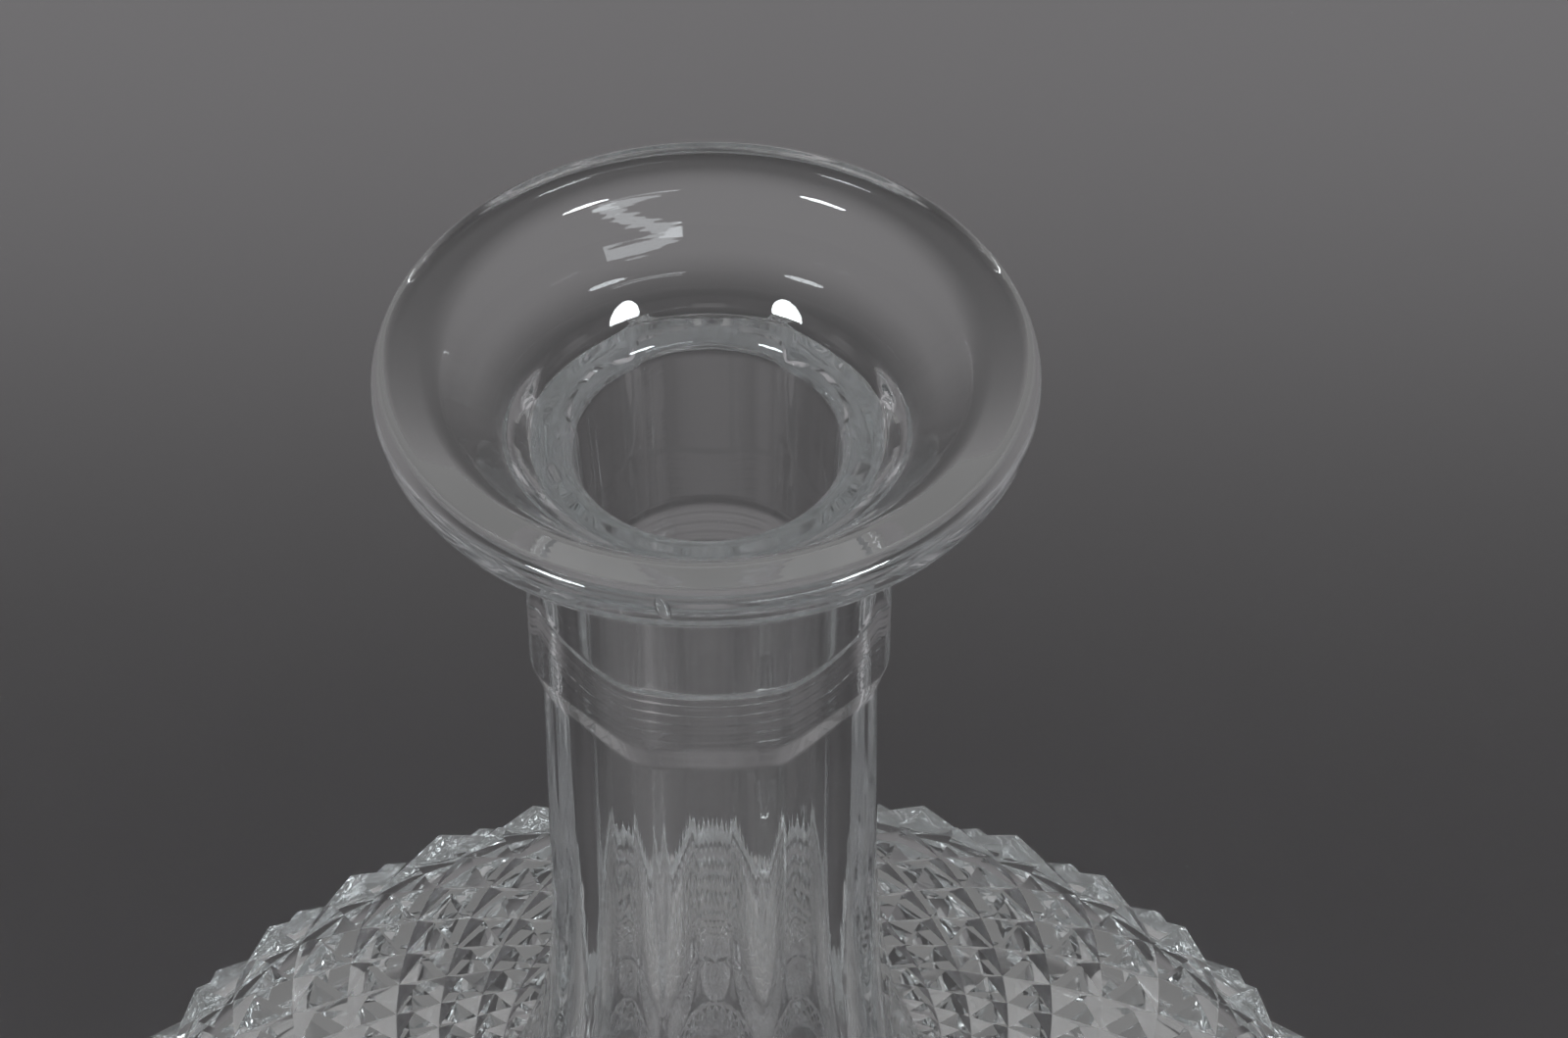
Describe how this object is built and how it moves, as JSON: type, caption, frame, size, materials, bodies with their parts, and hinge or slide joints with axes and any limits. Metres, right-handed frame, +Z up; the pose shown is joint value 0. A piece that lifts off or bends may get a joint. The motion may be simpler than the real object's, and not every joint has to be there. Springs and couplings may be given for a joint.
{
  "type": "crystal decanter",
  "caption": "Wide-based cut-crystal decanter with a flared lip, faceted collar and neck, diamond-cut body, and its faceted ground-glass stopper set down beside it.",
  "frame": {"origin": "centre of the vessel's flat base, on the surface that it stands on", "axes": "+Z up the vessel's axis, -Y towards the pictured side"},
  "size_m": [0.2192, 0.2027, 0.198],
  "materials": {
    "vessel_crystal": "polished clear crystal",
    "stopper_crystal": "polished clear crystal with a ground plug"
  },
  "bodies": {
    "decanter": {"decanter": "vessel_crystal"},
    "stopper": {"stopper": "stopper_crystal"}
  },
  "joints": [
    {"name": "stopper_lift", "type": "slide", "parent": "decanter", "child": "stopper", "axis": [0, 0, 1], "range_m": [0, 0.22]}
  ]
}
